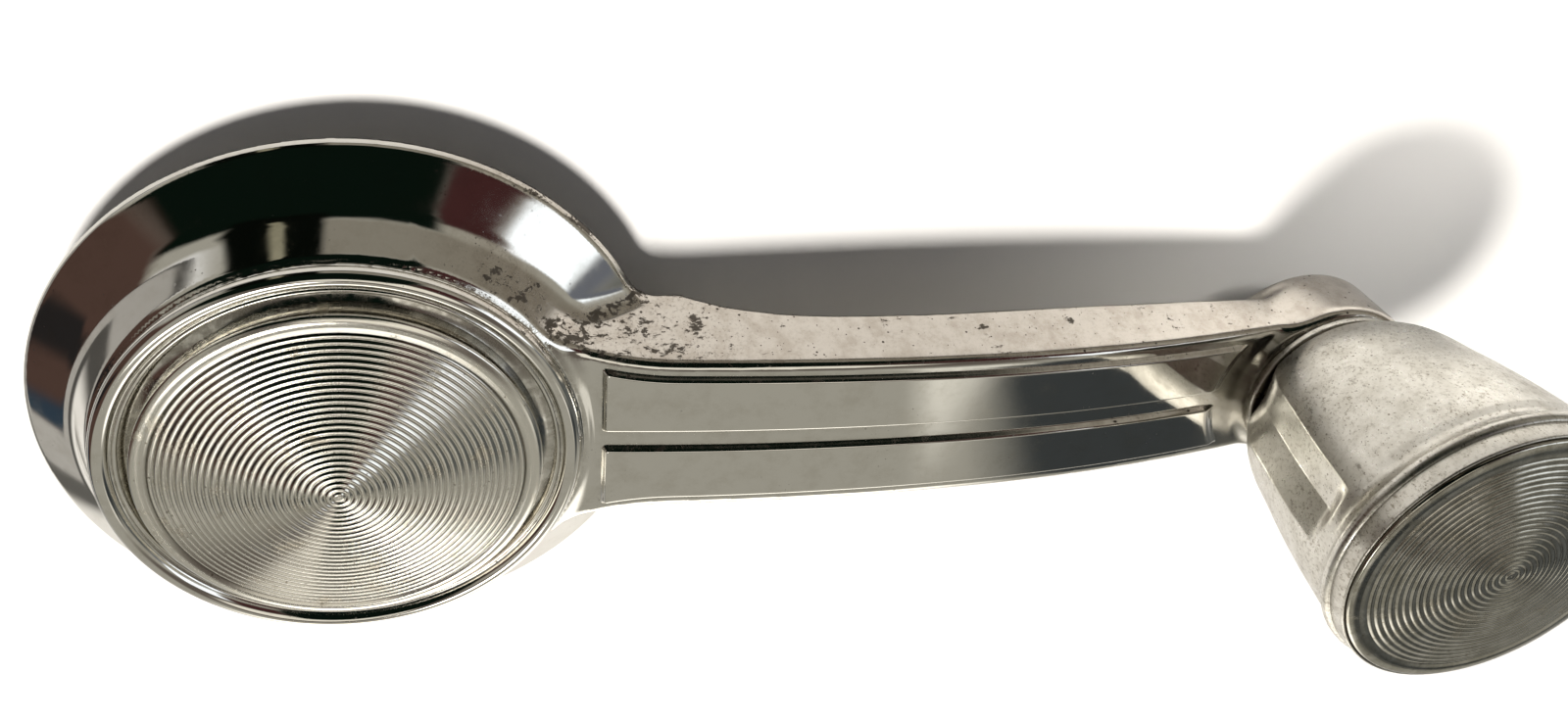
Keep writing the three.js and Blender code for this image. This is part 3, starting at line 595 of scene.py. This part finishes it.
def satin_material(name):
    """Worn plating on the knob: grey-beige, finely speckled, scuffed up and down, dirty in the corners."""
    item, nodes, coords = material(name)
    mm = in_mm(nodes, coords)
    mottled = nodes.noise(mm, 0.45, 6, 0.72)
    fine = nodes.noise(mm, 5.0, 3, 0.7)
    specks = nodes.maths("MAXIMUM", nodes.specks(mm, 2.0, 0.26, 0.25), nodes.specks(mm, 4.4, 0.34, 0.45))
    smudge = nodes.fade(nodes.noise(mm, 0.9, 7, 0.76, 0.4), 0.59, 0.68)
    scratch = nodes.fade(nodes.noise(scaled(nodes, mm, (3.2, 3.2, 0.25)), 2.2, 4, 0.7), 0.6, 0.75)
    corner = crevice(nodes, 0.0013)
    colour = nodes.blend(nodes.fade(mottled, 0.35, 0.7), (0.73, 0.71, 0.655), (0.60, 0.575, 0.515))
    patch = nodes.fade(nodes.noise(mm, 0.16, 3, 0.6), 0.42, 0.62, 0.40, 1.0)
    fleck = nodes.fade(nodes.noise(mm, 2.6, 6, 0.75), 0.50, 0.66)
    colour = nodes.blend(nodes.maths("MULTIPLY", fleck, patch), colour, (0.30, 0.27, 0.215))
    colour = nodes.blend(nodes.maths("MULTIPLY", specks, 0.75), colour, (0.17, 0.14, 0.10))
    colour = nodes.blend(nodes.maths("MULTIPLY", smudge, 0.55), colour, (0.16, 0.14, 0.115))
    colour = nodes.blend(nodes.maths("MULTIPLY", scratch, 0.3), colour, (0.30, 0.28, 0.24))
    colour = nodes.blend(nodes.maths("MULTIPLY", corner, 0.65), colour, (0.13, 0.11, 0.07))
    roughness = nodes.fade(mottled, 0.3, 0.75, 0.26, 0.42)
    height = nodes.maths("ADD", nodes.maths("MULTIPLY", fine, 0.4), nodes.maths("MULTIPLY", scratch, -0.6))
    metal_output(nodes, colour, roughness, height, 0.25, 0.00003)
    return item


def ringed_material(name, centre_x, film):
    """Turned metal: fine lines round the axis, brown stains, and an old film that is thinnest at +X."""
    item, nodes, coords = material(name)
    mm = in_mm(nodes, coords)
    centred = nodes.vector_maths("SUBTRACT", mm, (centre_x, 0, 0))
    off = nodes.add("SeparateXYZ", Vector=centred).outputs
    flat = nodes.add("CombineXYZ", X=off[0], Y=off[1])
    r = nodes.vector_maths("LENGTH", flat.outputs[0])
    lines = nodes.add("TexNoise", noise_dimensions="1D", W=r, Scale=9.0, Detail=3.0)
    stain = nodes.fade(nodes.noise(mm, 0.28, 5, 0.68), 0.53, 0.72)
    spots = nodes.specks(mm, 2.4, 0.3, 0.16)
    corner = crevice(nodes, 0.0006, 0.5, 0.95)
    colour = nodes.blend(nodes.maths("MULTIPLY", stain, 0.55), (0.80, 0.78, 0.72), (0.50, 0.43, 0.31))
    across = nodes.fade(off[0], 2.0, 12.0, 1.0, 0.15)
    cloudy = nodes.fade(nodes.noise(mm, 0.5, 6, 0.72), 0.36, 0.62, 0.55, 1.0)
    dull = nodes.maths("MULTIPLY", nodes.maths("MULTIPLY", across, cloudy), film)
    colour = nodes.blend(dull, colour, (0.235, 0.22, 0.165))
    colour = nodes.blend(nodes.maths("MULTIPLY", corner, 0.8), colour, (0.11, 0.09, 0.06))
    colour = nodes.blend(nodes.maths("MULTIPLY", spots, 0.6), colour, (0.2, 0.16, 0.11))
    roughness = nodes.fade(stain, 0.0, 1.0, 0.15, 0.36)
    metal_output(nodes, colour, roughness, lines.outputs["Fac"], 0.25, 0.00002, 1.0)
    return item


def steel_material(name, colour_a, colour_b, roughness):
    item, nodes, coords = material(name)
    mm = in_mm(nodes, coords)
    cloud = nodes.noise(mm, 0.8, 5, 0.65)
    colour = nodes.blend(nodes.fade(cloud, 0.35, 0.7), colour_a, colour_b)
    grain = nodes.noise(mm, 6.0, 3, 0.7)
    rough = nodes.fade(cloud, 0.3, 0.7, roughness, roughness + 0.18)
    metal_output(nodes, colour, rough, grain, 0.25, 0.00002)
    return item


def nylon_material(name):
    item, nodes, coords = material(name)
    mm = in_mm(nodes, coords)
    cloud = nodes.noise(mm, 0.7, 4, 0.6)
    colour = nodes.blend(nodes.fade(cloud, 0.35, 0.7), (0.78, 0.75, 0.66), (0.68, 0.63, 0.51))
    grain = nodes.noise(mm, 4.0, 3, 0.6)
    metal_output(nodes, colour, nodes.fade(cloud, 0.3, 0.7, 0.45, 0.62), grain, 0.2, 0.00002, 0.0)
    return item


def dress(piece, item):
    piece.data.materials.clear()
    piece.data.materials.append(item)


# ---------------------------------------------------------------- building the pieces
def place(piece, item, body, replaced=None):
    dress(piece, item)
    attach(piece, body)
    if replaced:
        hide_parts(replaced)


chrome = chrome_material("pitted_chrome")
satin = satin_material("worn_satin")
hub_rings = ringed_material("hub_rings", 0.0, 0.04)
knob_rings = ringed_material("knob_rings", REACH, 0.68)

place(fine_casting(), chrome, "crank", "crank_casting")
place(hub_bead(), chrome, "crank")
place(raised_bar("bar_near", 1), chrome, "crank")
place(raised_bar("bar_far", -1), chrome, "crank")
place(ringed_disc("hub_ringed_disc", 0.0, HUB_DISC_R, HUB_DISC_RIM, HUB_DISC_HIGH[2] / MM - BASE_Z,
                  DECK_Z, HUB_DISC_BORDER, HUB_RINGS, 0.15, 0.12),
      hub_rings, "crank", "hub_disc")
place(fine_collar(), satin, "crank", "knob_collar")
place(knob_shell(), satin, "knob", "knob_body")
place(ringed_disc("knob_ringed_disc", REACH, KNOB_DISC_R, KNOB_DISC_RIM,
                  KNOB_DISC_HIGH[2] / MM - BASE_Z, KNOB_SEAT_Z, KNOB_DISC_BORDER, KNOB_RINGS, 0.07, 0.03),
      knob_rings, "knob", "knob_disc")

steel = steel_material("worn_steel", (0.50, 0.50, 0.50), (0.36, 0.35, 0.34), 0.34)
spring = steel_material("oiled_spring_steel", (0.24, 0.24, 0.25), (0.16, 0.155, 0.15), 0.3)
for node in ("spindle_sleeve", "knob_stud", "rivet_washer"):
    dress(frame["nodes"][node], steel)
for node in ("retaining_clip", "knob_wave_washer", "stud_push_nut"):
    dress(frame["nodes"][node], spring)
dress(frame["nodes"]["knob_bush"], nylon_material("old_nylon"))


# ---------------------------------------------------------------- floor, light and camera
def floor():
    size = 1.6
    count = 9
    line = np.linspace(-size, size, count)
    points = [(x + REACH * MM / 2, y, CASTING_LOW[2]) for y in line for x in line]
    piece = new_piece("floor", points, grid_faces(count, count), False)
    item, nodes, coords = material("pale_table")
    # In reflections only, the table is painted darker: dimmed all over, nearly black in a band left of the
    # hub where the table ends, and painted shade behind the camera, as in a real room.
    cloud = nodes.noise(coords, 9.0, 4, 0.6)
    colour = nodes.blend(cloud, (0.90, 0.885, 0.86), (0.86, 0.845, 0.82))
    x, y = nodes.add("SeparateXYZ", Vector=coords).outputs[:2]
    seen = nodes.fade(x, -0.062, -0.056, 0.32, 0.05)
    seen = nodes.maths("ADD", seen, nodes.fade(x, -0.046, -0.038, 0.0, 0.62))
    seen = nodes.maths("ADD", seen, nodes.fade(x, 0.0, 0.05, 0.0, 0.10))
    seen = nodes.maths("MULTIPLY", seen, nodes.fade(y, 0.10, 0.15, 1.0, 0.04))
    glossy = nodes.add("LightPath").outputs["Is Glossy Ray"]
    level = nodes.maths("SUBTRACT", 1.0, nodes.maths("MULTIPLY", glossy, nodes.maths("SUBTRACT", 1.0, seen)))
    colour = nodes.blend(level, (0.0, 0.0, 0.0), colour)
    metal_output(nodes, colour, 0.55, cloud, 0.02, 0.0002, 0.0)
    dress(piece, item)


def area_light(name, place_at, target, size, power, spread=180.0):
    """A soft lamp for the floor and the matt parts; mirror-like metal sees the painted room instead."""
    data = bpy.data.lights.new(name, "AREA")
    data.shape = "DISK"
    data.size = size
    data.energy = power
    data.color = LAMP_COLOUR
    data.spread = math.radians(spread)
    lamp = bpy.data.objects.new(name, data)
    bpy.context.scene.collection.objects.link(lamp)
    lamp.location = place_at
    lamp.rotation_euler = (Vector(target) - Vector(place_at)).to_track_quat("-Z", "Y").to_euler()
    lamp.visible_glossy = False
    lamp.visible_camera = False
    return lamp


# What mirror-like metal sees round it, in degrees: bearing from +Y, positive towards -X, and height
# above the horizon, then each patch's half width, half height and edge softness, and its colour.
SURROUNDINGS = [
    ("low_front", 181, 14, 20, 15, 6, (2.6, 2.5, 2.3)),
    ("overhead_lamp", 146, 57, 8, 6, 4, (11.0, 10.8, 10.2)),
    ("grey_wall", -116, 19, 16, 19, 6, (0.12, 0.125, 0.12)),
    ("dark_cupboard", -138, 34, 10, 11, 4, (0.045, 0.05, 0.052)),
    ("pale_frame", -147, 47, 9, 4, 2, (0.85, 0.82, 0.74)),
    ("low_right", -38, 6, 52, 13, 5, (0.26, 0.24, 0.20)),
    ("window", -78, 46, 15, 12, 3, (1.5, 1.6, 1.72)),
    ("window_bar", -97, 36, 4, 5, 2, (0.16, 0.17, 0.20)),
    ("maroon_chair", -46, 50, 15, 14, 4, (0.060, 0.022, 0.022)),
    ("person", 22, 55, 54, 34, 4, (0.003, 0.007, 0.0045)),
    ("person_low", 30, 10, 18, 20, 3, (0.002, 0.003, 0.002)),
    ("pale_stripe", 30, 6, 2, 14, 1, (0.30, 0.28, 0.20)),
    ("brown_chair", 101, 18, 27, 21, 4, (0.085, 0.050, 0.040)),
    ("dark_streak", 106, 16, 4, 14, 2, (0.02, 0.018, 0.018)),
    ("blue_edge", 128, 0, 8, 8, 3, (0.030, 0.050, 0.075)),
]
WARP = (14, 12)                                   # degrees that the patches wander sideways and upwards
ROOM_LOW = (0.85, 0.84, 0.83)
ROOM_MIDDLE = (0.40, 0.385, 0.335)
ROOM_HIGH = (0.13, 0.11, 0.095)
ROOM_TOP = (1.0, 0.95, 0.84)
AMBIENT = (0.092, 0.091, 0.097)
LAMP_COLOUR = (1.0, 0.975, 0.935)


def world():
    """Soft studio surroundings: even light for the floor, and a painted room for reflections."""
    item = bpy.data.worlds.new("studio")
    bpy.context.scene.world = item
    item.use_nodes = True
    nodes = Nodes(item.node_tree)
    direction = nodes.add("TexCoord").outputs["Generated"]
    warp = nodes.add("TexNoise", Vector=direction, Scale=3.0, Detail=2.0)
    shift = nodes.add("SeparateColor", Color=warp.outputs["Color"])
    split = nodes.add("SeparateXYZ", Vector=direction)
    x, y, z = split.outputs
    bearing = nodes.maths("ARCTAN2", nodes.maths("MULTIPLY", x, -1.0), y)
    bearing = nodes.maths("MULTIPLY", bearing, 180 / math.pi)
    sideways = nodes.maths("MULTIPLY", nodes.maths("SUBTRACT", shift.outputs[0], 0.5), WARP[0])
    bearing = nodes.maths("ADD", bearing, sideways)
    height = nodes.maths("MULTIPLY", nodes.maths("ARCSINE", z), 180 / math.pi)
    upwards = nodes.maths("MULTIPLY", nodes.maths("SUBTRACT", shift.outputs[1], 0.5), WARP[1])
    height = nodes.maths("ADD", height, upwards)
    room = nodes.blend(nodes.fade(height, -4, 6), ROOM_LOW, ROOM_MIDDLE)
    room = nodes.blend(nodes.fade(height, 52, 64), room, ROOM_HIGH)
    room = nodes.blend(nodes.fade(height, 70, 76), room, ROOM_TOP)
    for _, centre_b, centre_h, half_b, half_h, soft, colour in SURROUNDINGS:
        off = nodes.maths("ABSOLUTE", nodes.maths("SUBTRACT", bearing, centre_b))
        off = nodes.maths("MINIMUM", off, nodes.maths("ABSOLUTE", nodes.maths("SUBTRACT", 360, off)))
        high = nodes.maths("ABSOLUTE", nodes.maths("SUBTRACT", height, centre_h))
        cover = nodes.maths("MULTIPLY", nodes.fade(off, half_b - soft, half_b + soft, 1.0, 0.0),
                            nodes.fade(high, half_h - soft, half_h + soft, 1.0, 0.0))
        room = nodes.blend(cover, room, colour)
    path = nodes.add("LightPath")
    lit = nodes.blend(path.outputs["Is Camera Ray"], AMBIENT, (1.0, 0.99, 0.97))
    seen = nodes.blend(path.outputs["Is Glossy Ray"], lit, room)
    back = nodes.add("Background", Color=seen, Strength=1.0)
    out = nodes.add("OutputWorld")
    nodes.put(out.inputs["Surface"], back.outputs[0])


CAMERA_PLACE = Vector((17.34, 72.89, 84.17))      # millimetres from the spindle axis and the base plane
CAMERA_FORWARD = Vector((0.18594, -0.43516, -0.88095))
CAMERA_RIGHT = Vector((0.98246, 0.06932, 0.17313))
CAMERA_LENS = 24.43
CAMERA_SHIFT = (0.0284, -0.1661)


def camera():
    data = bpy.data.cameras.new("photo_view")
    data.sensor_fit = "HORIZONTAL"
    data.sensor_width = 36
    data.lens = CAMERA_LENS
    data.shift_x, data.shift_y = CAMERA_SHIFT
    data.clip_start = 0.005
    data.clip_end = 20
    item = bpy.data.objects.new("photo_view", data)
    bpy.context.scene.collection.objects.link(item)
    back = -CAMERA_FORWARD.normalized()
    right = (CAMERA_RIGHT - back * CAMERA_RIGHT.dot(back)).normalized()
    up = back.cross(right)
    turn = Matrix((right, up, back)).transposed().to_4x4()
    spot = (CAMERA_PLACE + Vector((0, 0, BASE_Z))) * MM
    item.matrix_world = Matrix.Translation(spot) @ turn
    bpy.context.scene.camera = item


bpy.context.scene.view_settings.view_transform = "Standard"
floor()
world()
area_light("key", (-0.19, -0.25, 0.72), (0.04, 0, 0), 0.20, 10.5)
area_light("knob_fill", (0.138, 0.084, 0.060), (0.118, 0.030, CASTING_LOW[2]), 0.03, 0.0085, 52.0)
camera()
